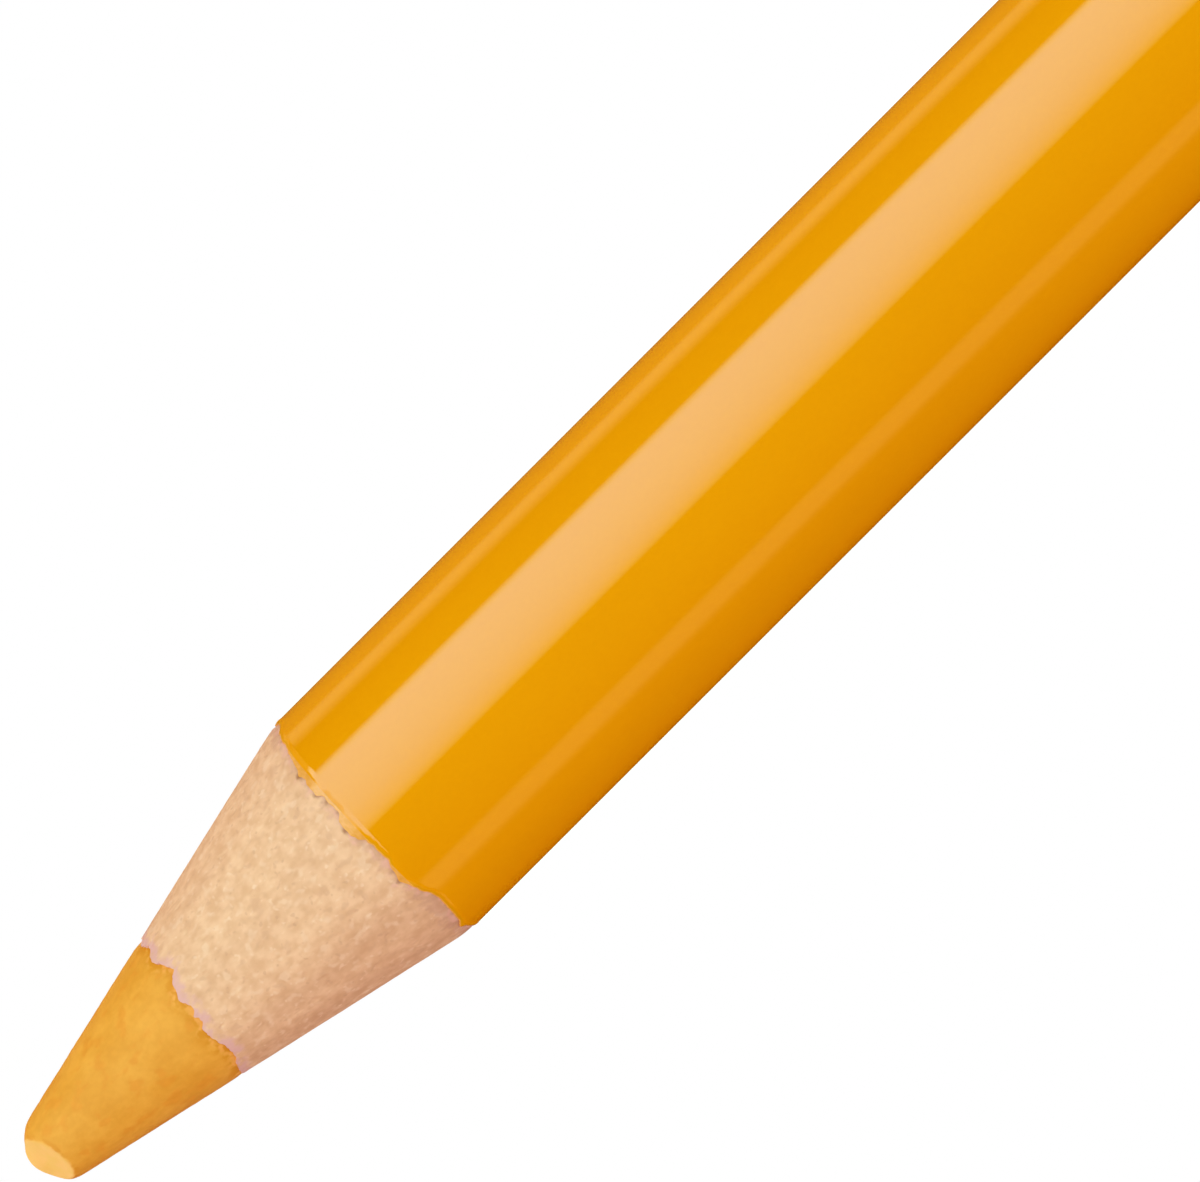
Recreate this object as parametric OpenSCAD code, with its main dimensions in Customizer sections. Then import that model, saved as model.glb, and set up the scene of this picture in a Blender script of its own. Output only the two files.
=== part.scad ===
// Round pastel pencil: a pastel core glued into two grooved wooden slats, under a built-up lacquer
// coat, sharpened to a cone that use has worn blunt. The pencil stands on its butt end: the origin is
// the middle of that end, +Z runs to the point, and the front is -Y. Millimetres and degrees.

/* [Barrel] */
// Length from the butt end to the worn point
pencil_len = 175; // [110:1:200]
// Diameter over the lacquer
barrel_d = 7.6; // [6.4:0.1:9]
// Thickness of the lacquer coat
coat_t = 0.08; // [0.05:0.01:0.16]
// Rounding of the coat's rim at the butt end
butt_round = 0.03; // [0.01:0.01:0.05]

/* [Core] */
// Diameter of the pastel core
core_d = 4.4; // [3:0.1:5.2]

/* [Sharpened end] */
// Full angle of the sharpened cone
cone_angle = 25.65; // [20:0.05:32]
// How far the cone's axis lies to the -X side of the barrel's axis, at the dome's centre
cone_off = 0.055; // [0:0.005:0.12]
// Angle at which the cone's axis leans towards -X
cone_lean = 0.16; // [0:0.02:0.5]
// Radius of the dome that the point has worn to
nose_r = 1.07; // [0.7:0.01:1.3]
// Depth of the flat worn into the dome, from the dome's surface
flat_depth = 0.38; // [0.05:0.01:0.5]
// Angle between the flat's outward normal and the axis
flat_tilt = 28; // [0:1:35]
// Direction that the flat faces, counterclockwise from +X
flat_dir = 250; // [0:1:359]

/* [Chipped edges] */
// Depth of the deepest chip in the wood's feather edge
wood_chip = 0.61; // [0:0.01:0.8]
// Depth of the deepest chip in the coat's sharpened edge, where it has flaked off the wood
coat_chip = 0.5; // [0:0.01:0.8]

/* [Hidden] */
$fn = 96;
barrel_r = barrel_d / 2;
wood_r = barrel_r - coat_t;
core_r = core_d / 2;
cone_half = cone_angle / 2;
// the flat's distance from the dome's centre, and its radius
flat_dist = nose_r - flat_depth;
flat_r = sqrt(nose_r * nose_r - flat_dist * flat_dist);
// what is left above the dome's centre: the flat takes the dome's top off where it reaches the axis
tip_rise = flat_dist < nose_r * cos(flat_tilt)
    ? flat_dist * cos(flat_tilt) + flat_r * sin(flat_tilt)
    : nose_r;
dome_z = pencil_len - tip_rise;
// the cone touches the dome, so its apex is where the dome's tangents meet
apex_z = dome_z + nose_r / sin(cone_half);
// how far a shape that cuts another reaches past it
past = 1;
// heights that make up a chipped edge, all round
edge_steps = 144;
// the chips in each edge, all round: direction, and share of the deepest chip
wood_chips = [
    [0, 0.51], [9, 0.71], [16, 0.34], [24, 0.52], [33, 0.75], [41, 0.3], [50, 0.59], [60, 0.38],
    [68, 0.16], [77, 0.52], [88, 0.67], [96, 0.58], [103, 0.28], [112, 0.43], [121, 0.75],
    [128, 0.64], [137, 0.28], [146, 0.12], [155, 0.44], [166, 0.56], [177, 0.29], [188, 0.1],
    [200, 0.15], [206, 0.2], [211, 0.28], [217, 0.47], [222, 0.54], [234, 0.55], [240, 0.39],
    [246, 0.32], [251, 0.3], [254, 0.24], [258, 0.49], [262, 0.48], [264, 0.3], [268, 0.57],
    [271, 0.57], [275, 0.44], [279, 0.31], [285, 0.47], [291, 0.54], [294, 0.74], [297, 1],
    [300, 0.92], [304, 0.8], [309, 0.69], [312, 0.51], [316, 0.43], [320, 0.48], [326, 0.7],
    [330, 0.7], [335, 0.52], [341, 0.38], [350, 0.61]
];
coat_chips = [
    [0, 0.54], [8, 0.34], [17, 0.1], [22, 0.42], [31, 0.61], [42, 0.35], [47, 0.01], [54, 0.29],
    [64, 0.53], [75, 0.33], [82, 0.05], [88, 0.43], [99, 0.57], [110, 0.4], [119, 0.12],
    [126, 0.48], [139, 0.64], [148, 0.3], [154, 0.14], [163, 0.56], [176, 0.72], [187, 0.88],
    [195, 0.78], [200, 0.54], [207, 0.8], [217, 0.9], [227, 1], [231, 0.9], [237, 0.58],
    [242, 0.42], [246, 0.2], [252, 0.37], [256, 0.53], [264, 0.51], [268, 0.43], [271, 0.15],
    [274, 0.02], [277, 0.02], [281, 0.05], [284, 0.41], [288, 0.37], [290, 0.31], [293, 0.37],
    [297, 0.09], [303, 0.09], [305, 0.51], [307, 0.17], [309, 0.05], [313, 0.27], [320, 0.37],
    [327, 0.51], [333, 0.5], [339, 0.62], [347, 0.86], [354, 0.74]
];

// direction of one step round a chipped edge: half a step off, so that none is on the glue plane
function step_dir(i) = 360 * (i + 0.5) / edge_steps;

// height at which the sharpened cone meets a cylinder of radius r about the barrel's axis
function cone_z(r, dir) =
    let (off_at_butt = cone_off - dome_z * tan(cone_lean))
    (apex_z * tan(cone_half) - r - off_at_butt * cos(dir)) / (tan(cone_half) + tan(cone_lean) * cos(dir));

// 0 to 1: depth of an edge's chips in this direction, eased from each one listed to the next
function chip_share(chips, dir, i = 0) =
    let (here = chips[i], next = i + 1 < len(chips) ? chips[i + 1] : [360, chips[0][1]])
    dir > next[0] ? chip_share(chips, dir, i + 1)
    : let (t = (dir - here[0]) / (next[0] - here[0]))
    here[1] + (next[1] - here[1]) * t * t * (3 - 2 * t);

function wood_edge_z(dir) = cone_z(core_r, dir) - wood_chip * chip_share(wood_chips, dir);
function coat_edge_z(dir) = cone_z(wood_r, dir) - coat_chip * chip_share(coat_chips, dir);

function total(list, i = 0) = i == len(list) ? 0 : list[i] + total(list, i + 1);

// everything above a chipped edge, which has these heights at this radius: a fan of facets from the
// middle outward, walls, and a flat top
module above_edge(heights, radius) {
    n = len(heights);
    mid_z = total(heights) / n;
    out_r = radius + past;
    rim = [for (i = [0 : n - 1])
        [out_r * cos(step_dir(i)), out_r * sin(step_dir(i)), mid_z + (heights[i] - mid_z) * out_r / radius]];
    top = [for (p = rim) [p[0], p[1], pencil_len + past]];
    polyhedron(
        points = concat(rim, top, [[0, 0, mid_z]]),
        faces = concat(
            [for (i = [0 : n - 1]) [i, (i + 1) % n, 2 * n]],
            [for (i = [0 : n - 1]) [(i + 1) % n, i, n + i, n + (i + 1) % n]],
            [[for (i = [n - 1 : -1 : 0]) n + i]]
        )
    );
}

// the half space beyond the flat that is worn into the dome, about the dome's centre
module worn_away() {
    size = 4 * nose_r;
    rotate([0, flat_tilt, flat_dir]) translate([-size / 2, -size / 2, flat_dist]) cube(size);
}

// what sharpening and use have left: a cone that is wider than the barrel up to its tangent dome
module sharpened_space() {
    touch_r = nose_r * cos(cone_half);
    touch_z = dome_z + nose_r * sin(cone_half);
    foot_r = (apex_z + past) * tan(cone_half);
    translate([-cone_off, 0, dome_z]) difference() {
        // a quarter turn keeps the revolve's start off the glue plane
        rotate([0, -cone_lean, 0]) rotate([0, 0, 90]) rotate_extrude() {
            translate([0, -dome_z])
                polygon([[0, -past], [foot_r, -past], [touch_r, touch_z], [0, touch_z]]);
            intersection() {
                circle(r = nose_r);
                square(nose_r);
            }
        }
        worn_away();
    }
}

// one grooved slat, half of the casing: the half turn that starts in this direction
module slat(from_dir) {
    difference() {
        intersection() {
            rotate([0, 0, from_dir]) rotate_extrude(angle = 180)
                translate([core_r, 0]) square([wood_r - core_r, pencil_len]);
            sharpened_space();
        }
        above_edge([for (i = [0 : edge_steps - 1]) wood_edge_z(step_dir(i))], core_r);
    }
}

// the coat's section, from the butt end up: its outer rim is rounded where the pencil was trimmed
module coat_section() {
    round_r = min(butt_round, coat_t / 2);
    difference() {
        translate([wood_r, 0]) square([coat_t, pencil_len]);
        difference() {
            translate([barrel_r - round_r, -past]) square([round_r + past, round_r + past]);
            translate([barrel_r - round_r, round_r]) circle(r = round_r);
        }
    }
}

module pastel_core() {
    color("#EBA63C") intersection() {
        cylinder(r = core_r, h = pencil_len);
        sharpened_space();
    }
}

module slat_front() {
    color("#EFCB9C") slat(180);
}

module slat_back() {
    color("#EFCB9C") slat(0);
}

module lacquer_coat() {
    color("#E69B00") difference() {
        intersection() {
            rotate_extrude() coat_section();
            sharpened_space();
        }
        above_edge([for (i = [0 : edge_steps - 1]) coat_edge_z(step_dir(i))], wood_r);
    }
}

lacquer_coat();
pastel_core();
slat_back();
slat_front();
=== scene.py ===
# A sharpened pastel pencil, point up on its butt end.
# The dictionaries are in millimetres and degrees, and turns are counted from +X towards +Y.
import math

import bmesh
import bpy
from mathutils import Matrix, Vector, noise


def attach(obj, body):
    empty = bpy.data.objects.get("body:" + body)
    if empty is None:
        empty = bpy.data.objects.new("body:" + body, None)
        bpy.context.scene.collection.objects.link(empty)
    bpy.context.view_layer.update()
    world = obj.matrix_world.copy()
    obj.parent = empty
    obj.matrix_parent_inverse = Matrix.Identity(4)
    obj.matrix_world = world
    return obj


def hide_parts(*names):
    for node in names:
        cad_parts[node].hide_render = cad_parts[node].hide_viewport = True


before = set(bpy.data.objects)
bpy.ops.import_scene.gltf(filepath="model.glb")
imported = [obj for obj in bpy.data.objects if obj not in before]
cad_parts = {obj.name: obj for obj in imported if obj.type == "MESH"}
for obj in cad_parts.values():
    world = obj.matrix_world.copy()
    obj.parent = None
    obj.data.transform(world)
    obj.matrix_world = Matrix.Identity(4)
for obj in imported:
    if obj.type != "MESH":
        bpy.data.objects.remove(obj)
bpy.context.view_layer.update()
print("frame loaded:", ", ".join(sorted(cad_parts)))

millimetre = 0.001  # in metres
weld = 1e-5  # vertices closer together than this, in millimetres, are one

pencil = {
    "length": 175.0,
    "barrelRadius": 3.8,
    "coatFilm": 0.08,  # thickness of the lacquer
    "coreRadius": 2.2,
    "pointAngle": 25.65,  # whole angle of the sharpened cone
    "pointOffset": 0.055,  # the cone's axis lies this far towards -X at the nose
    "pointLean": 0.16,  # and leans that way by this angle
    "noseRadius": 1.07,
    "flatDepth": 0.38,  # worn away from the nose
    "flatTilt": 28.0,
    "flatTurn": 250.0,
}
woodRadius = pencil["barrelRadius"] - pencil["coatFilm"]
coreRadius = pencil["coreRadius"]
coneHalf = math.radians(pencil["pointAngle"] / 2)
coneSlope = math.tan(coneHalf)
coneLean = math.tan(math.radians(pencil["pointLean"]))
flatLift = pencil["noseRadius"] - pencil["flatDepth"]
flatTilt = math.radians(pencil["flatTilt"])
flatTurn = math.radians(pencil["flatTurn"])
flatRadius = math.sqrt(pencil["noseRadius"] ** 2 - flatLift**2)
noseHeight = pencil["length"] - flatLift * math.cos(flatTilt) - flatRadius * math.sin(flatTilt)
apexHeight = noseHeight + pencil["noseRadius"] / math.sin(coneHalf)


def coneOffset(height):
    # how far the cone's axis lies towards -X at this height
    return pencil["pointOffset"] - (noseHeight - height) * coneLean


def coneHeight(radius, turn):
    # where the cone meets a cylinder about the barrel's axis
    level = apexHeight * coneSlope - radius - coneOffset(0) * math.cos(turn)
    return level / (coneSlope + coneLean * math.cos(turn))


def coneRadius(height, turn):
    return (apexHeight - height) * coneSlope - coneOffset(height) * math.cos(turn)


def eased(share):
    # 0 to 1 with a soft start and end
    share = min(max(share, 0.0), 1.0)
    return share * share * (3 - 2 * share)


def softMin(first, second, radius):
    # the lesser of two sizes, with the corner where they cross rounded
    return (first + second - math.hypot(first - second, radius)) / 2


def crowded(share):
    # shares that lie ever closer together towards the end
    return 1 - (1 - share) ** 3


def around(knots, turn):
    # value of a list of (degrees, value) knots at a turn, closed over a full circle
    degrees = math.degrees(turn) % 360
    last = (knots[-1][0] - 360, knots[-1][1])
    for knot in knots + [(knots[0][0] + 360, knots[0][1])]:
        if degrees <= knot[0]:
            return last[1] + (knot[1] - last[1]) * eased((degrees - last[0]) / (knot[0] - last[0]))
        last = knot
    return last[1]


def rough(turn, radius, height, across, along, seed):
    # smooth noise on the pencil's side, with the size of its lumps across and along in millimetres
    spot = (radius * math.cos(turn) / across, radius * math.sin(turn) / across, height / along)
    return noise.noise(Vector(spot) + Vector((seed, seed * 0.7, seed * 1.3)))


def roughSum(layers, turn, radius, height=0.0):
    # a sum of such noises, listed as size across, size along, weight and seed
    return sum(
        weight * rough(turn, radius, height, across, along, seed)
        for across, along, weight, seed in layers
    )


def listStations(rows):
    # the rows of vertices in each zone in turn, each with the share of its zone that lies behind it
    stations = [(next(iter(rows)), 0.0)]
    for zone, count in rows.items():
        stations += [(zone, n / count) for n in range(1, count + 1)]
    return stations


def spunShell(stations, place, start, sweep, steps, closed):
    # spins a row of vertices about the pencil's axis, then sets each one by its station and its turn
    shell = bmesh.new()
    station = shell.verts.layers.int.new("station")
    row = []
    for number, (zone, share) in enumerate(stations):
        radius, height = place(zone, share, start)[:2]
        corner = shell.verts.new((radius * math.cos(start), radius * math.sin(start), height))
        corner[station] = number
        row.append(corner)
    for first, second in zip(row, row[1:] + (row[:1] if closed else [])):
        shell.edges.new((first, second))
    bmesh.ops.spin(
        shell,
        geom=shell.verts[:] + shell.edges[:],
        cent=(0, 0, 0),
        axis=(0, 0, 1),
        dvec=(0, 0, 0),
        angle=sweep,
        steps=steps,
        use_merge=sweep == 2 * math.pi,
        use_normal_flip=False,
        use_duplicate=False,
    )
    for corner in shell.verts:
        turn = math.atan2(corner.co.y, corner.co.x)
        zone, share = stations[corner[station]]
        radius, height, *shift = place(zone, share, turn)
        aside = shift[0] if shift else 0.0
        corner.co = (radius * math.cos(turn) + aside, radius * math.sin(turn), height)
    bmesh.ops.remove_doubles(shell, verts=shell.verts[:], dist=weld)
    return shell


def finishPiece(name, shell, materials, crease, node):
    # one closed mesh in metres, smooth except at corners sharper than the crease
    bmesh.ops.recalc_face_normals(shell, faces=shell.faces[:])
    bmesh.ops.scale(shell, vec=(millimetre,) * 3, verts=shell.verts[:])
    for face in shell.faces:
        face.smooth = True
    for edge in shell.edges:
        if len(edge.link_faces) == 2 and edge.calc_face_angle(0) > math.radians(crease):
            edge.smooth = False
    mesh = bpy.data.meshes.new(name)
    shell.to_mesh(mesh)
    shell.free()
    for material in materials:
        mesh.materials.append(material)
    piece = bpy.data.objects.new(name, mesh)
    bpy.context.scene.collection.objects.link(piece)
    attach(piece, "root")
    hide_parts(node)
    print("made", name, "with", len(mesh.polygons), "faces")


class Wire:
    # a socket that can be used in sums
    def __init__(self, sheet, socket):
        self.sheet = sheet
        self.socket = socket

    def maths(self, operation, *terms):
        settings = {"operation": operation}
        return self.sheet.node("ShaderNodeMath", settings, dict(enumerate(terms)))

    def __add__(self, other):
        return self.maths("ADD", self, other)

    def __radd__(self, other):
        return self.maths("ADD", other, self)

    def __sub__(self, other):
        return self.maths("SUBTRACT", self, other)

    def __rsub__(self, other):
        return self.maths("SUBTRACT", other, self)

    def __mul__(self, other):
        return self.maths("MULTIPLY", self, other)

    def __rmul__(self, other):
        return self.maths("MULTIPLY", other, self)

    def __truediv__(self, other):
        return self.maths("DIVIDE", self, other)

    def __rtruediv__(self, other):
        return self.maths("DIVIDE", other, self)


class Sheet:
    # a node tree being laid out
    def __init__(self, tree):
        self.tree = tree
        self.tree.nodes.clear()

    def node(self, kind, settings=None, inputs=None, output=0):
        made = self.tree.nodes.new(kind)
        for key, value in (settings or {}).items():
            if key == "stops":
                self.setStops(made.color_ramp, value)
            else:
                setattr(made, key, value)
        for key, value in (inputs or {}).items():
            if isinstance(key, int):
                socket = made.inputs[key]
            else:
                socket = next(s for s in made.inputs if key in (s.identifier, s.name))
            if isinstance(value, Wire):
                self.tree.links.new(value.socket, socket)
            else:
                socket.default_value = value
        if isinstance(output, int):
            return Wire(self, made.outputs[output])
        return Wire(self, next(s for s in made.outputs if output in (s.identifier, s.name)))

    def setStops(self, ramp, stops):
        while len(ramp.elements) > 1:
            ramp.elements.remove(ramp.elements[-1])
        for number, (position, colour) in enumerate(stops):
            element = ramp.elements[0] if number == 0 else ramp.elements.new(position)
            element.position = position
            element.color = (*colour, 1)

    def cloud(self, density, shift=(0, 0, 0), detail=2.0, roughness=0.5):
        # noise on the piece's own coordinates, with this many lumps in a millimetre along x, y and z
        coords = self.node("ShaderNodeTexCoord", output="Object")
        stretch = tuple(each / millimetre for each in density)
        inputs = {"Vector": coords, "Location": shift, "Scale": stretch}
        spot = self.node("ShaderNodeMapping", None, inputs)
        inputs = {"Vector": spot, "Scale": 1.0, "Detail": detail, "Roughness": roughness}
        return self.node("ShaderNodeTexNoise", None, inputs)

    def band(self, value, low, high, toLow=0.0, toHigh=1.0):
        # eased step from toLow at low to toHigh at high
        settings = {"interpolation_type": "SMOOTHSTEP"}
        inputs = {0: value, 1: low, 2: high, 3: toLow, 4: toHigh}
        return self.node("ShaderNodeMapRange", settings, inputs)

    def fall(self, value, low, high):
        # eased step from 1 at low to 0 at high
        return self.band(value, low, high, 1.0, 0.0)

    def window(self, value, low, lowFull, highFull, high):
        # 1 between the full values, 0 outside the others
        return self.band(value, low, lowFull) * self.fall(value, highFull, high)

    def blend(self, factor, first, second, mode="MIX"):
        settings = {"data_type": "RGBA", "blend_type": mode, "clamp_factor": True}
        inputs = {"Factor_Float": factor, "A_Color": first, "B_Color": second}
        for key in ("A_Color", "B_Color"):
            if isinstance(inputs[key], tuple) and len(inputs[key]) == 3:
                inputs[key] = (*inputs[key], 1)
        return self.node("ShaderNodeMix", settings, inputs, "Result_Color")

    def layered(self, colour, layers):
        # lays tints over a colour, listed as mask, strength and tint
        for mask, strength, tint in layers:
            colour = self.blend(mask * strength, colour, tint)
        return colour

    def attribute(self, name):
        return self.node("ShaderNodeAttribute", {"attribute_name": name}, None, "Fac")

    def bump(self, height, distance, strength=1.0):
        inputs = {"Height": height, "Distance": distance * millimetre, "Strength": strength}
        return self.node("ShaderNodeBump", None, inputs)

    def surface(self, inputs):
        shader = self.node("ShaderNodeBsdfPrincipled", None, inputs)
        output = self.tree.nodes.new("ShaderNodeOutputMaterial")
        self.tree.links.new(shader.socket, output.inputs["Surface"])


def newMaterial(name):
    material = bpy.data.materials.new(name)
    material.use_nodes = True
    return material, Sheet(material.node_tree)


def ragged(distance, patches, amount):
    # a distance made uneven, so that what begins there has a ragged border
    return distance + (patches - 0.5) * amount


coat = {
    "steps": 480,  # round the pencil
    # rows of vertices in each zone, in the order that placeCoat follows
    "rows": {"rim": 3, "wall": 44, "corner": 9, "bevel": 4, "break": 2, "inside": 8},
    "crease": 10.0,
    "buttRound": 0.03,
    "inside": 0.004,  # the film's inner face sits this far into the wood
    "leastLip": 0.008,  # thickness of the front edge where the cone cuts it
    "brokenLip": 0.035,  # most thickness of it where it is broken back
    "lipSlant": 0.01,
    "edgeRound": 0.11,  # how far behind a broken edge the film starts to thin
    "cornerRound": 0.095,  # half the height of the bend between the wall and the cut
    "cornerShare": 0.7,  # the most of the cut's height that this half may be
    "chatter": 0.022,  # fine raggedness of the front edge
    "chatterNoise": [(0.16, 1.0, 1.0, 3.1), (0.07, 1.0, 0.5, 8.2)],
    "edge": [  # how far the front edge is broken back from the cone's cut
        (0, 0.27), (8, 0.25), (17, 0.16), (22, 0.212), (31, 0.303), (42, 0.173), (47, 0.003),
        (54, 0.144), (64, 0.264), (75, 0.165), (82, 0.026), (88, 0.216), (99, 0.287),
        (110, 0.198), (119, 0.058), (126, 0.238), (139, 0.319), (148, 0.149), (154, 0.069),
        (163, 0.3), (176, 0.42), (187, 0.46), (195, 0.39), (200, 0.269), (207, 0.399),
        (217, 0.449), (227, 0.499), (231, 0.449), (237, 0.288), (242, 0.208), (246, 0.098),
        (252, 0.187), (256, 0.267), (264, 0.257), (268, 0.216), (271, 0.076), (274, 0.01),
        (277, 0.01), (281, 0.026), (284, 0.205), (288, 0.185), (290, 0.155), (293, 0.185),
        (297, 0.044), (303, 0.044), (305, 0.11), (307, 0.084), (309, 0.024), (313, 0.133),
        (320, 0.183), (327, 0.253), (333, 0.252), (339, 0.312), (347, 0.432), (354, 0.372),
    ],
    "filmTones": [(0.815, 0.314, 0.0009), (0.84, 0.331, 0.0011)],
    "edgeShadeTone": (0.6, 0.29, 0.004),  # painted shade on the last of the film before its edge
    "edgeGloss": 0.55,
    "ripple": 0.0012,  # height of the film's unevenness
    "cutTones": [(0.77, 0.34, 0.05), (0.83, 0.39, 0.09)],  # where the film is cut or broken
    "cutGrain": 0.002,
}


def coatEdge(turn):
    # height of the film's front edge
    fine = roughSum(coat["chatterNoise"], turn, pencil["barrelRadius"])
    drop = around(coat["edge"], turn) + coat["chatter"] * fine
    return coneHeight(woodRadius, turn) - max(drop, 0.0)


def placeCoat(zone, share, turn):
    # radius and height: up the outside from the butt, over the front edge and down the inside
    outer = pencil["barrelRadius"]
    inner = woodRadius - coat["inside"]
    edge = coatEdge(turn)
    wallTop = min(coneHeight(outer, turn), edge - coat["edgeRound"])
    lip = max(coneRadius(edge, turn), inner + coat["leastLip"])
    lip = min(lip, woodRadius + coat["brokenLip"])
    bend = min(coat["cornerRound"], coat["cornerShare"] * (edge - wallTop))
    buttRound = coat["buttRound"]
    if zone == "rim":
        lean = share * math.pi / 2
        return outer - buttRound + buttRound * math.sin(lean), buttRound - buttRound * math.cos(lean)
    if zone == "wall":
        return outer, buttRound + (wallTop - bend - buttRound) * crowded(share)
    drop = (outer - lip) / (edge - wallTop)
    if zone == "corner":
        height = wallTop + bend * (2 * share - 1)
        return outer - drop * bend * share**2, height
    if zone == "bevel":
        height = wallTop + bend + (edge - wallTop - bend) * share
        return outer - drop * (height - wallTop), height
    if zone == "break":
        return lip + (inner - lip) * share, edge - coat["lipSlant"] * share
    return inner, (edge - coat["lipSlant"]) * (1 - share) ** 2


def makeCoat(whole, cut):
    # takes the material of the film, and the one of its cut and broken edge
    stations = listStations(coat["rows"])
    zones = [zone for zone, share in stations]
    firstBevel, lastBreak = zones.index("bevel") - 1, zones.index("inside") - 1
    shell = spunShell(stations, placeCoat, 0.0, 2 * math.pi, coat["steps"], True)
    station = shell.verts.layers.int["station"]
    for face in shell.faces:
        numbers = [corner[station] for corner in face.verts]
        if min(numbers) >= firstBevel and max(numbers) <= lastBreak:
            face.material_index = 1
    toEdge = shell.verts.layers.float.new("toEdge")
    for corner in shell.verts:
        corner[toEdge] = coatEdge(math.atan2(corner.co.y, corner.co.x)) - corner.co.z
    finishPiece("lacquerCoat", shell, [whole, cut], coat["crease"], "lacquer_coat")


def lacquerFinish():
    material, sheet = newMaterial("orangeLacquer")
    drift = sheet.cloud((0.25, 0.25, 0.06))
    fine = sheet.cloud((9, 9, 6), (3, 1, 2))
    tone = sheet.band(drift * 0.7 + fine * 0.3, 0.3, 0.7)
    toEdge = sheet.attribute("toEdge")
    colour = sheet.blend(tone, *coat["filmTones"])
    # darker towards the front edge: painted shade
    colour = sheet.layered(colour, [(sheet.fall(toEdge, 0.05, 0.14), 0.5, coat["edgeShadeTone"])])
    gloss = sheet.band(toEdge, 0.15, 0.24, coat["edgeGloss"], 1.0)
    ripple = sheet.cloud((0.9, 0.9, 0.35), detail=1)
    grainRipple = sheet.cloud((5, 5, 3), detail=1)
    sheet.surface({
        "Base Color": colour,
        "Roughness": 0.5,
        "Specular IOR Level": 0.0,
        "Coat Weight": gloss,
        "Coat Roughness": 0.02,
        "Coat IOR": 1.5,
        "Normal": sheet.bump(ripple + grainRipple * 0.12, coat["ripple"]),
    })
    return material


def cutLacquerFinish():
    material, sheet = newMaterial("cutLacquer")
    fine = sheet.cloud((6, 6, 10), detail=3)
    tone = sheet.band(fine, 0.35, 0.65)
    sheet.surface({
        "Base Color": sheet.blend(tone, *coat["cutTones"]),
        "Roughness": 0.5,
        "Specular IOR Level": 0.0,
        "Coat Weight": 0.85,
        "Coat Roughness": 0.1,
        "Coat IOR": 1.5,
        "Normal": sheet.bump(fine, coat["cutGrain"]),
    })
    return material


makeCoat(lacquerFinish(), cutLacquerFinish())


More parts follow.
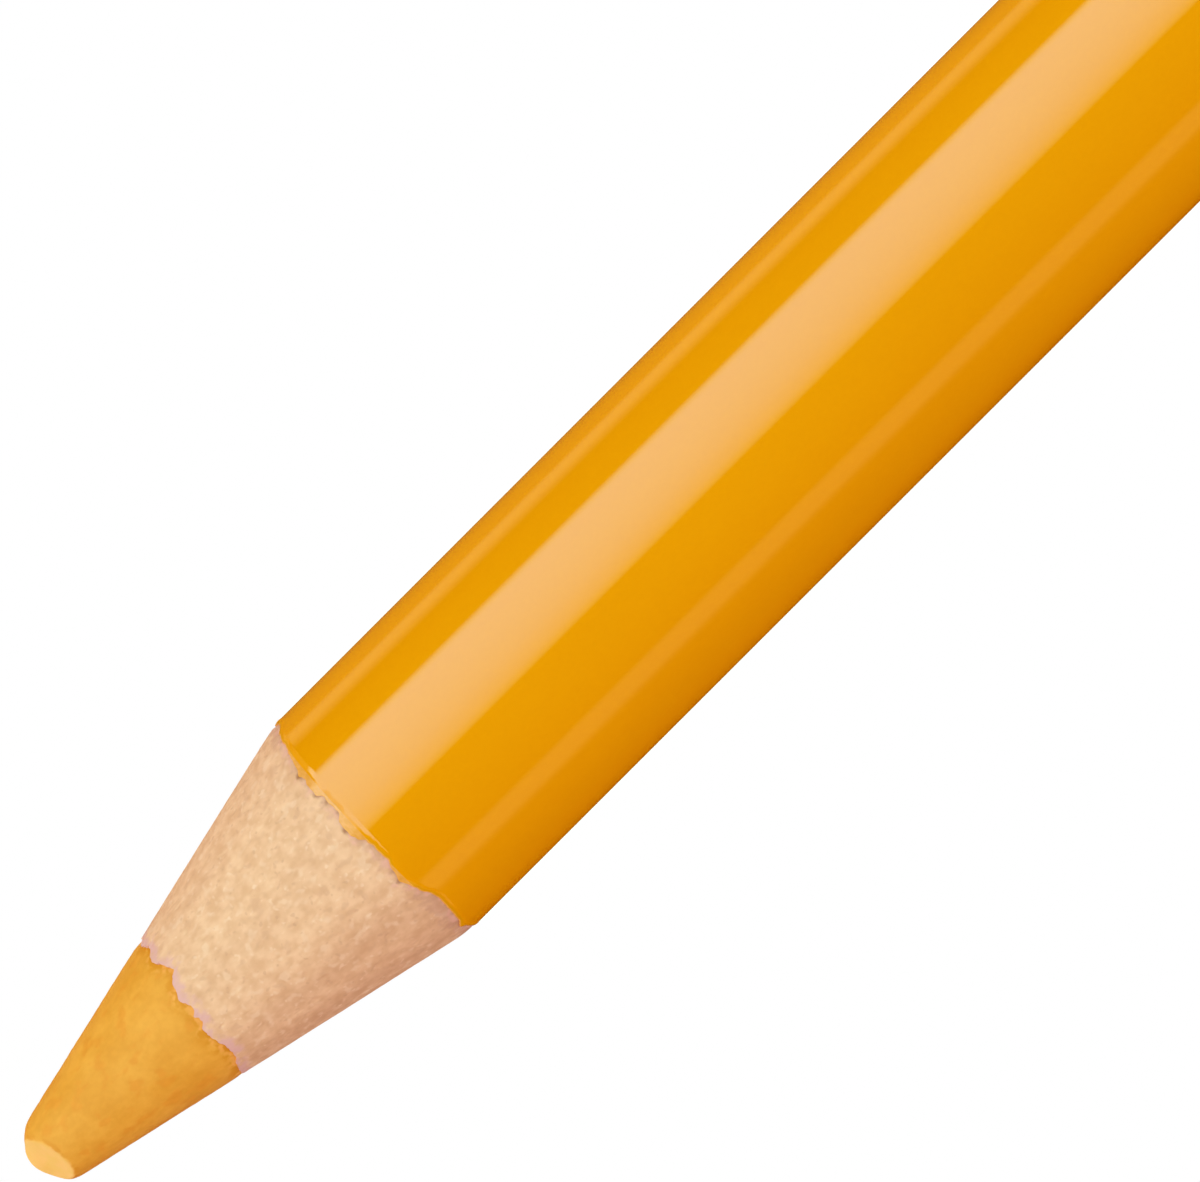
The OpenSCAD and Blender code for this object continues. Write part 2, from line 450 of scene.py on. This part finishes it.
slat = {
    "steps": 300,  # round half a turn
    "rows": {"butt": 10, "under": 30, "cone": 150, "lip": 3, "bore": 6},
    "crease": 50.0,
    "lift": 0.02,  # the butt end stands this far off the ground
    "pores": [(0.12, 1.0, 0.012, 31)],  # noise on the butt end
    "overlap": 0.01,  # the bore reaches this far into the core
    "fibre": 0.006,  # height of the raised grain on the cut cone
    "fibreNoise": [(0.5, 2.2, 0.8, 11), (0.11, 0.5, 0.6, 12), (0.06, 0.14, 0.45, 13)],
    "tear": 0.016,  # depth of the torn pits
    "tearNoise": [(0.2, 0.34, 1.0, 14)],
    "tearFrom": 0.38,  # value of that noise at which a pit begins
    "tearRise": 0.25,  # and how much more makes it full depth
    "seam": 0.02,  # depth of the glue line
    "seamWidth": 0.06,  # on each side of the glue
    "grainStart": 0.7,  # the grain begins this far below the shoulder
    "grainRise": 0.3,  # and is at its full height this much further up
    "grainFade": 0.02,  # share of the cone, at its front edge, over which it fades
    "shoulderRound": 0.05,
    "bareSwell": 0.042,  # how far the bare wood stands out where the coat has flaked off it
    "bareStart": 0.03,  # the swelling begins this far under the coat
    "bareRise": 0.05,  # and is full this much further up
    "lipSlant": 0.02,
    "leastDrop": 0.02,
    "chatter": 0.03,  # fine raggedness of the front edge
    "chatterNoise": [(0.12, 1.0, 1.0, 5.3), (0.05, 1.0, 0.6, 1.9)],
    "edge": [  # how far the wood's front edge is broken back from the core's shoulder
        (0, 0.312), (9, 0.431), (16, 0.21), (24, 0.319), (33, 0.456), (41, 0.183), (50, 0.359),
        (60, 0.234), (68, 0.1), (77, 0.315), (88, 0.408), (96, 0.352), (103, 0.168),
        (112, 0.262), (121, 0.457), (128, 0.393), (137, 0.168), (146, 0.074), (155, 0.271),
        (166, 0.339), (177, 0.177), (188, 0.058), (200, 0.09), (206, 0.122), (211, 0.173),
        (217, 0.286), (222, 0.328), (234, 0.334), (240, 0.237), (246, 0.196), (251, 0.184),
        (254, 0.146), (258, 0.298), (262, 0.291), (264, 0.182), (268, 0.345), (271, 0.347),
        (275, 0.269), (279, 0.192), (285, 0.286), (291, 0.329), (294, 0.451), (297, 0.613),
        (300, 0.564), (304, 0.486), (309, 0.419), (312, 0.31), (316, 0.262), (320, 0.294),
        (326, 0.426), (330, 0.427), (335, 0.318), (341, 0.23), (350, 0.371),
    ],
    "bandsAndShade": [  # darker growth bands where they cross the cone, and painted shade on the side turned from the light, the high values between turns 200 and 240
        (0, 0.3), (14, 0.7), (26, 0.2), (41, 0.6), (58, 0.1), (74, 0.5), (90, 0.8), (103, 0.2),
        (121, 0.4), (138, 0.75), (152, 0.3), (170, 0.6), (190, 0.8), (206, 1.6), (212, 1.4),
        (221, 0.8), (229, 1.5), (237, 1.15), (243, 0.4), (255, 0.0), (267, 0.45), (273, 0.75),
        (279, 0.65), (288, 0.35), (297, 0.4), (303, 0.3), (311, 0.1), (319, 0.85), (327, 0.3),
        (334, 0.0),
    ],
    "sway": [(2.0, 2.0, 0.05, 61)],  # noise that the bands sway by, in radians
    "crumbShadeSpread": 0.11,
    "crumbShadeSpots": [  # brown crumbs, with painted shade in the gaps, where the coat's teeth bite the wood: turn and size
        (17, 0.8), (47, 1.0), (82, 0.9), (119, 1.0), (154, 0.8), (200, 0.5), (246, 0.7),
        (251, 0.5), (277, 1.0), (284.5, 0.6), (291, 0.7), (296.5, 0.8), (309, 1.0), (333, 0.5),
    ],
    "woodTones": [(0.688, 0.384, 0.209), (0.806, 0.489, 0.273)],
    "speckleTones": [(0.915, 0.87, 0.83), (1.075, 1.125, 1.165)],  # multiplied on to the wood's
    "speckleRelief": 0.006,
    "paleFleck": (0.9, 0.63, 0.41),
    "darkFleck": (0.62, 0.34, 0.195),
    "paleChip": (0.95, 0.69, 0.46),
    "darkChip": (0.58, 0.3, 0.17),
    "uncutTone": (0.5, 0.235, 0.165),  # below the cone, where the coat has flaked off
    "pastelDust": (0.72, 0.4, 0.36),  # rubbed in next to the core
    "coatDust": (0.85, 0.46, 0.35),  # and next to the coat
    # dark spots at the coat's teeth: crumbs, and painted shade in the gaps under the teeth
    "crumbShadeTone": (0.34, 0.13, 0.04),
}


def woodEdge(turn):
    # height of the casing's front edge
    fine = roughSum(slat["chatterNoise"], turn, coreRadius)
    drop = around(slat["edge"], turn) + slat["chatter"] * fine
    return coneHeight(coreRadius, turn) - max(drop, slat["leastDrop"])


def woodGrain(turn, radius, height):
    # relief of the cut wood: fibres, torn pits and the glue line
    relief = slat["fibre"] * roughSum(slat["fibreNoise"], turn, radius, height)
    pits = roughSum(slat["tearNoise"], turn, radius, height) - slat["tearFrom"]
    fromSeam = abs(math.sin(turn)) * radius
    relief -= slat["tear"] * eased(pits / slat["tearRise"])
    return relief - slat["seam"] * (1 - eased(fromSeam / slat["seamWidth"]))


def cutWoodRadius(height, turn):
    # the barrel and the cone, with a soft shoulder between them
    bare = eased((height - coatEdge(turn) + slat["bareStart"]) / slat["bareRise"])
    barrel = woodRadius + bare * slat["bareSwell"]
    return softMin(coneRadius(height, turn), barrel, slat["shoulderRound"])


def placeSlat(zone, share, turn):
    # radius and height: out over the butt end, up the side and the cone, and back down the bore
    shoulder = coneHeight(woodRadius, turn)
    edge = woodEdge(turn)
    bore = coreRadius - slat["overlap"]
    lift, slant = slat["lift"], slat["lipSlant"]
    if zone == "butt":
        radius = bore + (woodRadius - bore) * share
        pores = roughSum(slat["pores"], turn, radius) if 0 < share < 1 else 0
        return radius, lift + pores
    if zone == "under":
        height = lift + (shoulder - lift) * crowded(share)
        radius = cutWoodRadius(height, turn)
        near = eased((height - shoulder + slat["grainStart"]) / slat["grainRise"])
        return radius + woodGrain(turn, radius, height) * near, height
    if zone == "cone":
        height = shoulder + (edge - shoulder) * share
        radius = cutWoodRadius(height, turn)
        fade = eased((1 - share) / slat["grainFade"])
        return radius + woodGrain(turn, radius, height) * fade, height
    if zone == "lip":
        radius = coneRadius(edge, turn)
        return radius + (bore - radius) * share, edge - slant * share
    return bore, lift + (edge - slant - lift) * (1 - share) ** 2


def crumbShadeAt(turn):
    # size of a spot of crumbs and painted shade at its middle, fading within about a tenth of a
    # millimetre
    most = 0.0
    for degrees, size in slat["crumbShadeSpots"]:
        away = math.remainder(turn - math.radians(degrees), 2 * math.pi) * woodRadius
        most = max(most, size * math.exp(-((away / (slat["crumbShadeSpread"] * size)) ** 2)))
    return most


def makeSlat(name, node, start, material):
    stations = listStations(slat["rows"])[:-1]  # the bore ends in the butt end's first row
    shell = spunShell(stations, placeSlat, start, math.pi, slat["steps"], True)
    names = ("toPastel", "toCoat", "toShoulder", "band", "crumbShade")
    layers = [shell.verts.layers.float.new(each) for each in names]
    for corner in shell.verts:
        turn, height = math.atan2(corner.co.y, corner.co.x), corner.co.z
        sway = roughSum(slat["sway"], turn, woodRadius, height)
        values = (
            woodEdge(turn) - height,
            height - coatEdge(turn),
            height - coneHeight(woodRadius, turn),
            # growth bands, with painted shade on the side turned from the light
            around(slat["bandsAndShade"], turn + sway),
            crumbShadeAt(turn),
        )
        for layer, value in zip(layers, values):
            corner[layer] = value
    rims = [edge for edge in shell.edges if edge.is_boundary]
    bmesh.ops.holes_fill(shell, edges=rims, sides=0)
    finishPiece(name, shell, [material], slat["crease"], node)


def woodFinish(name, shift):
    material, sheet = newMaterial(name)
    streak = sheet.cloud((1.7, 1.7, 0.16), shift, 3, 0.6)
    blotch = sheet.cloud((1.2, 1.2, 0.8), shift)
    mottle = sheet.cloud((4.0, 2.8, 3.1), shift, 1.5)
    grain = sheet.cloud((3.1, 2.3, 2.2), (7, 5, shift[2]), 1)
    patchy = sheet.cloud((2.6, 2.6, 2.6), (4, 4, 4))
    frayed = sheet.cloud((5, 5, 4), (2, 9, 1))
    flecks = sheet.cloud((3.9, 2.6, 3.1), (3, 8, 5), 1)
    chips = sheet.cloud((5.2, 4.4, 4.8), (9, 1, 4), 1)
    toPastel = sheet.attribute("toPastel")
    toCoat = sheet.attribute("toCoat")
    toShoulder = sheet.attribute("toShoulder")
    band = sheet.attribute("band")
    crumbShade = sheet.attribute("crumbShade")

    # darker where the band attribute is high: growth bands, and painted shade on the side turned from
    # the light
    tone = sheet.band(streak * 0.45 + blotch * 0.35 + (1 - band) * 0.28, 0.1, 0.72)
    speckle = sheet.band(mottle * 0.65 + grain * 0.35, 0.28, 0.72)
    shade = sheet.blend(speckle, *slat["speckleTones"])
    colour = sheet.blend(1.0, sheet.blend(tone, *slat["woodTones"]), shade, "MULTIPLY")
    nearPastel = sheet.fall(ragged(toPastel, frayed, 0.45), 0.1, 0.42) * sheet.band(patchy, 0.3, 0.56)
    nearCoat = sheet.fall(ragged(toCoat, frayed, 0.3), 0.04, 0.3) * sheet.band(patchy, 0.42, 0.6)
    colour = sheet.layered(colour, [
        (sheet.band(flecks, 0.56, 0.74), 0.4, slat["paleFleck"]),
        (sheet.fall(flecks, 0.26, 0.42), 0.35, slat["darkFleck"]),
        (sheet.band(chips, 0.64, 0.78), 0.36, slat["paleChip"]),
        (sheet.fall(chips, 0.24, 0.35), 0.36, slat["darkChip"]),
        (sheet.fall(ragged(toShoulder, frayed, 0.9), -0.25, 0.12), 0.4, slat["uncutTone"]),
        (nearPastel, 0.85, slat["pastelDust"]),
        (nearCoat, 0.6, slat["coatDust"]),
        # brown crumbs with painted shade, in dark spots at the coat's teeth
        (sheet.fall(ragged(toCoat, frayed, 0.1), 0.03, 0.14) * crumbShade, 0.8, slat["crumbShadeTone"]),
    ])
    sheet.surface({
        "Base Color": colour,
        "Roughness": 0.62,
        "Specular IOR Level": 0.25,
        "Normal": sheet.bump(speckle, slat["speckleRelief"], 0.6),
    })
    return material


makeSlat("slatFront", "slat_front", math.pi, woodFinish("frontWood", (1, 2, 3)))
makeSlat("slatBack", "slat_back", 0.0, woodFinish("backWood", (6, 4, 8)))


core = {
    "steps": 420,
    "rows": {"butt": 10, "rod": 14, "point": 120, "nose": 34},
    "crease": 24.0,
    "lift": 0.03,  # the butt end stands this far off the ground
    "pores": [(0.2, 1.0, 0.012, 51)],  # noise on the butt end
    "rodTop": 161.5,  # the rod is plain up to here
    "shoulderRound": 0.03,
    "moveStart": 169.5,  # from here up, the rings move over to the cone's own axis
    "moveRise": 2.5,
    "grain": 0.01,
    "grainNoise": [(0.55, 0.6, 0.8, 41), (0.16, 0.16, 0.5, 42), (0.07, 0.07, 0.35, 43)],
    "grainFade": 0.4,  # radius inside which the grain fades towards the nose's pole
    "wearReach": 1.0,  # how far below the nose's centre the wear goes
    "flatRound": 0.045,  # rounding of the worn flat's rim
    "flatDent": 0.012,
    "dentNoise": [(0.35, 0.7), (0.09, 0.3)],  # size and weight
    "dentRise": 0.06,
    "noseLumps": [  # uneven wear: turn, angle from the axis, spread in degrees, and height
        (88, 24, 24, 0.11),
        (4, 47, 19, -0.08),
    ],
    "stickTones": [(0.747, 0.312, 0.019), (0.812, 0.364, 0.033)],
    "patchTone": (0.76, 0.28, 0.014),
    "speckleTones": [(0.972, 0.958, 0.89), (1.028, 1.044, 1.13)],  # multiplied on to those
    "crumbRelief": 0.006,
    "rimTone": (0.71, 0.27, 0.004),  # pressed dark next to the wood
    "smearTone": (0.92, 0.43, 0.08),  # and smeared pale
    "scuffTone": (0.69, 0.25, 0.006),  # round the worn flat
    "wornTones": [(0.83, 0.45, 0.07), (0.865, 0.455, 0.098)],
}
noseLean = math.pi / 2 - coneHalf  # from the axis to where the nose meets the cone
noseFoot = noseHeight + pencil["noseRadius"] * math.cos(noseLean)


def pastelGrain(turn, radius, height):
    return core["grain"] * roughSum(core["grainNoise"], turn, radius, height)


def placeCore(zone, share, turn):
    # radius, height and shift along X: out over the butt end, up the rod and the cone, over the nose
    lift, rodTop = core["lift"], core["rodTop"]
    if zone == "butt":
        radius = coreRadius * share
        pores = roughSum(core["pores"], turn, radius) if share < 1 else 0.0
        return radius, lift + pores
    if zone == "rod":
        return coreRadius, lift + (rodTop - lift) * share
    if zone == "point":
        height = rodTop + (noseFoot - rodTop) * share
        moved = eased((height - core["moveStart"]) / core["moveRise"])
        offset = coneOffset(height)
        cone = (apexHeight - height) * coneSlope - offset * (1 - moved) * math.cos(turn)
        radius = softMin(cone, coreRadius, core["shoulderRound"])
        return radius + pastelGrain(turn, radius, height), height, -offset * moved
    lean = noseLean * (1 - share)
    radius = pencil["noseRadius"] * math.sin(lean)
    height = noseHeight + pencil["noseRadius"] * math.cos(lean)
    grain = pastelGrain(turn, radius, height) * min(1.0, radius / core["grainFade"])
    return radius + grain, height, -pencil["pointOffset"]


def lumpHeight(outward):
    # height of the uneven wear in this direction from the nose's centre
    height = 0.0
    for turn, lean, spread, most in core["noseLumps"]:
        turn, lean = math.radians(turn), math.radians(lean)
        peak = Vector((math.sin(lean) * math.cos(turn), math.sin(lean) * math.sin(turn), math.cos(lean)))
        height += most * math.exp(-((outward.angle(peak) / math.radians(spread)) ** 2))
    return height


def wearNose(shell):
    # lays what stands above the worn plane down on it, with a soft rim, then adds the uneven wear
    middle = Vector((-pencil["pointOffset"], 0, noseHeight))
    facing = Vector((
        math.sin(flatTilt) * math.cos(flatTurn),
        math.sin(flatTilt) * math.sin(flatTurn),
        math.cos(flatTilt),
    ))
    worn = shell.verts.layers.float.new("worn")
    for corner in shell.verts:
        corner[worn] = (corner.co - middle).dot(facing) - flatLift
        if corner.co.z > noseHeight - core["wearReach"]:
            lift = corner[worn]
            dent = sum(noise.noise(corner.co / size) * weight for size, weight in core["dentNoise"])
            dent *= core["flatDent"] * eased(lift / core["dentRise"])
            corner.co -= facing * (lift - softMin(lift, 0.0, core["flatRound"]) + dent)
            outward = corner.co - middle
            corner.co += outward.normalized() * lumpHeight(outward)


def makeCore(material):
    stations = listStations(core["rows"])
    shell = spunShell(stations, placeCore, 0.0, 2 * math.pi, core["steps"], False)
    wearNose(shell)
    toWood = shell.verts.layers.float.new("toWood")
    for corner in shell.verts:
        turn = math.atan2(corner.co.y, corner.co.x)
        corner[toWood] = corner.co.z - woodEdge(turn)
    finishPiece("pastelCore", shell, [material], core["crease"], "pastel_core")


def pastelFinish():
    material, sheet = newMaterial("orangePastel")
    blotch = sheet.cloud((1.0, 1.0, 0.8), (2, 2, 2))
    patch = sheet.cloud((2.2, 2.2, 1.6), (9, 1, 5))
    crumb = sheet.cloud((4.8, 4.8, 4.2))
    fine = sheet.cloud((16, 16, 16))
    edgePatch = sheet.cloud((3, 3, 3), (1, 6, 2))
    toWood = sheet.attribute("toWood")
    flatEdge = ragged(sheet.attribute("worn"), crumb, 0.16)

    colour = sheet.blend(sheet.band(blotch, 0.28, 0.72), *core["stickTones"])
    colour = sheet.layered(colour, [(sheet.band(patch, 0.52, 0.66), 0.6, core["patchTone"])])
    shade = sheet.blend(sheet.band(crumb, 0.28, 0.72), *core["speckleTones"])
    colour = sheet.blend(1.0, colour, shade, "MULTIPLY")
    rim = sheet.fall(ragged(toWood, crumb, 0.3), 0.1, 0.5) * sheet.band(edgePatch, 0.46, 0.56)
    smear = sheet.fall(ragged(toWood, crumb, 0.2), 0.08, 0.3) * (1 - sheet.band(edgePatch, 0.4, 0.5))
    scuff = sheet.band(flatEdge, -0.2, -0.06) * sheet.band(edgePatch, 0.42, 0.56)
    colour = sheet.layered(colour, [
        (rim, 0.85, core["rimTone"]),
        (smear, 0.75, core["smearTone"]),
        (scuff, 0.6, core["scuffTone"]),
    ])
    chalk = sheet.blend(sheet.band(patch, 0.35, 0.65), *core["wornTones"])
    sheet.surface({
        "Base Color": sheet.blend(sheet.band(flatEdge, -0.05, 0.035), colour, chalk),
        "Roughness": 0.6,
        "Specular IOR Level": 0.35,
        "Normal": sheet.bump(crumb * 0.7 + fine * 0.3, core["crumbRelief"], 0.6),
    })
    return material


makeCore(pastelFinish())


stage = {
    "size": 12.0,  # metres
    "cells": 8,
    "colour": (0.835, 0.86, 0.86, 1),
}


def makeFloor():
    ground = bmesh.new()
    cells = stage["cells"]
    bmesh.ops.create_grid(ground, x_segments=cells, y_segments=cells, size=stage["size"] / 2)
    mesh = bpy.data.meshes.new("studioFloor")
    ground.to_mesh(mesh)
    ground.free()
    floor = bpy.data.objects.new("studioFloor", mesh)
    bpy.context.scene.collection.objects.link(floor)
    material, sheet = newMaterial("paleFloor")
    sheet.surface({"Base Color": stage["colour"], "Roughness": 0.8, "Specular IOR Level": 0.0})
    mesh.materials.append(material)
    floor.visible_glossy = False  # the lacquer mirrors the soft boxes, not the ground


studio = {
    # what lights the matt surfaces: azimuth in degrees from -Y towards +X, and the colour there
    "wash": [
        (-180, (1.2, 1.2, 1.2)), (-152, (0.2, 0.1, 0.1)), (-100, (0.1, 0.0, 0.0)),
        (-62, (0.7, 0.0, 0.0)), (-45, (1.05, 0.1, 0.1)), (-18, (1.1, 1.6, 1.6)),
        (58, (1.1, 1.6, 1.6)), (85, (1.05, 0.1, 0.1)), (102, (0.7, 0.0, 0.0)),
        (140, (0.1, 0.0, 0.0)), (152, (0.2, 0.1, 0.1)), (180, (1.2, 1.2, 1.2)),
    ],
    "top": (1.6, 1.6, 1.6),  # and what does from overhead
    "topHeights": (0.5, 0.94),  # the wash turns into the top between these, as sines of the height
    # what the lacquer mirrors: a wide soft box in front, a slim one on each side and one behind
    "boxes": [
        (-180, (1.6, 2.4, 2.2)), (-175, (1.6, 2.4, 2.2)), (-170, (0.3, 0.05, 0.0)),
        (-135, (0.3, 0.05, 0.0)), (-115, (0, 0, 0)), (-84, (0, 0, 0)), (-80, (0.3, 0.17, 0.06)),
        (-75, (1.25, 0.9, 0.25)), (-63, (1.3, 0.92, 0.27)), (-58, (0, 0, 0)), (0, (0, 0, 0)),
        (2, (1.4, 1.65, 0.6)), (8, (1.95, 2.45, 1.8)), (22, (2.1, 3.2, 3.0)),
        (40, (2.3, 3.7, 3.7)), (61.5, (2.4, 3.9, 4.0)), (65, (2.4, 3.5, 2.5)), (69, (0, 0, 0)),
        (101, (0, 0, 0)), (112, (1.6, 1.2, 0.42)), (119, (1.5, 1.15, 0.4)),
        (125, (0.7, 0.38, 0.06)), (150, (0.52, 0.25, 0.03)), (169, (0.35, 0.12, 0.05)),
        (174, (1.6, 2.4, 2.2)), (180, (1.6, 2.4, 2.2)),
    ],
    # the wide box leans with the height: the sine of the height, and the shift in degrees
    "outlineShift": [(0.075, 0), (0.12, 25), (0.3, 25), (0.38, -5)],
    "shiftEnds": (12, 45),  # azimuths over which this shift wears off
    "shiftTurns": (48, 68),  # and over which it comes back the other way
    "shiftBack": 0.35,
    "rimGlow": (0.9, 0.6, 0.15),  # what the coat's rounded corner mirrors between the boxes
    "rimHeights": (0.1, 0.17, 0.3, 0.4),
    "rimAzimuths": (63, 72, 104, 112),
}


def azimuthRamp(sheet, azimuth, stops):
    # a ramp over the full circle, kept between 0 and 1 and brought back to strength after
    peak = max(max(colour) for turn, colour in stops)
    places = [((turn + 180) / 360, tuple(c / peak for c in colour)) for turn, colour in stops]
    ramp = sheet.node("ShaderNodeValToRGB", {"stops": places}, {"Fac": azimuth / 360 + 0.5})
    return sheet.node("ShaderNodeVectorMath", {"operation": "SCALE"}, {"Vector": ramp, "Scale": peak})


def makeStudio():
    world = bpy.data.worlds.new("studio")
    bpy.context.scene.world = world
    world.use_nodes = True
    world.cycles.sampling_method = "NONE"  # every ray looks the light up itself
    sheet = Sheet(world.node_tree)
    direction = sheet.node("ShaderNodeTexCoord", output="Generated")
    split = sheet.node("ShaderNodeSeparateXYZ", None, {"Vector": direction})
    east, north, up = (Wire(sheet, socket) for socket in split.socket.node.outputs)
    azimuth = east.maths("ARCTAN2", east, 0 - north) * (180 / math.pi)
    wash = azimuthRamp(sheet, azimuth, studio["wash"])
    wash = sheet.blend(sheet.band(up, *studio["topHeights"]), wash, studio["top"])
    outline = studio["outlineShift"]
    shift = sum(
        sheet.band(up, low, high, 0.0, after - before)
        for (low, before), (high, after) in zip(outline, outline[1:])
        if before != after
    )
    back = sheet.band(azimuth, *studio["shiftTurns"]) * studio["shiftBack"]
    shift = shift * (sheet.fall(azimuth, *studio["shiftEnds"]) - back)
    boxes = azimuthRamp(sheet, azimuth + shift, studio["boxes"])
    rim = sheet.window(up, *studio["rimHeights"]) * sheet.window(azimuth, *studio["rimAzimuths"])
    boxes = sheet.blend(rim, boxes, studio["rimGlow"], "ADD")
    direct = sheet.node("ShaderNodeLightPath", output="Is Camera Ray")
    mirrored = Wire(sheet, direct.socket.node.outputs["Is Glossy Ray"])
    light = sheet.blend(mirrored, wash, boxes)
    light = sheet.blend(direct, light, (1, 1, 1))  # the camera itself sees plain white
    shader = sheet.node("ShaderNodeBackground", None, {"Color": light, "Strength": 1.0})
    output = world.node_tree.nodes.new("ShaderNodeOutputWorld")
    world.node_tree.links.new(shader.socket, output.inputs["Surface"])


view = {
    "aim": (0.165, 0.0, 153.422),
    "distance": 550.0,
    "rise": 3.5,  # the camera looks up by this angle
    "roll": -135.0,
    "frameWidth": 32.0,  # what the frame takes in at the aim
    "sensor": 36.0,
    "clip": (0.01, 20.0),  # metres
}


def makeCamera():
    rise, roll = math.radians(view["rise"]), math.radians(view["roll"])
    level = Vector((1, 0, 0))
    above = Vector((0, -math.sin(rise), math.cos(rise)))
    right = math.cos(roll) * level + math.sin(roll) * above
    up = -math.sin(roll) * level + math.cos(roll) * above
    back = right.cross(up)
    data = bpy.data.cameras.new("viewCamera")
    data.sensor_width = view["sensor"]
    data.lens = view["sensor"] * view["distance"] / view["frameWidth"]
    data.clip_start, data.clip_end = view["clip"]
    camera = bpy.data.objects.new("viewCamera", data)
    bpy.context.scene.collection.objects.link(camera)
    stand = (Vector(view["aim"]) + back * view["distance"]) * millimetre
    turned = Matrix((right, up, back)).transposed().to_4x4()
    camera.matrix_world = Matrix.Translation(stand) @ turned
    bpy.context.scene.camera = camera


makeFloor()
makeStudio()
makeCamera()
bpy.context.scene.view_settings.view_transform = "Standard"
print("stage, light and camera set")
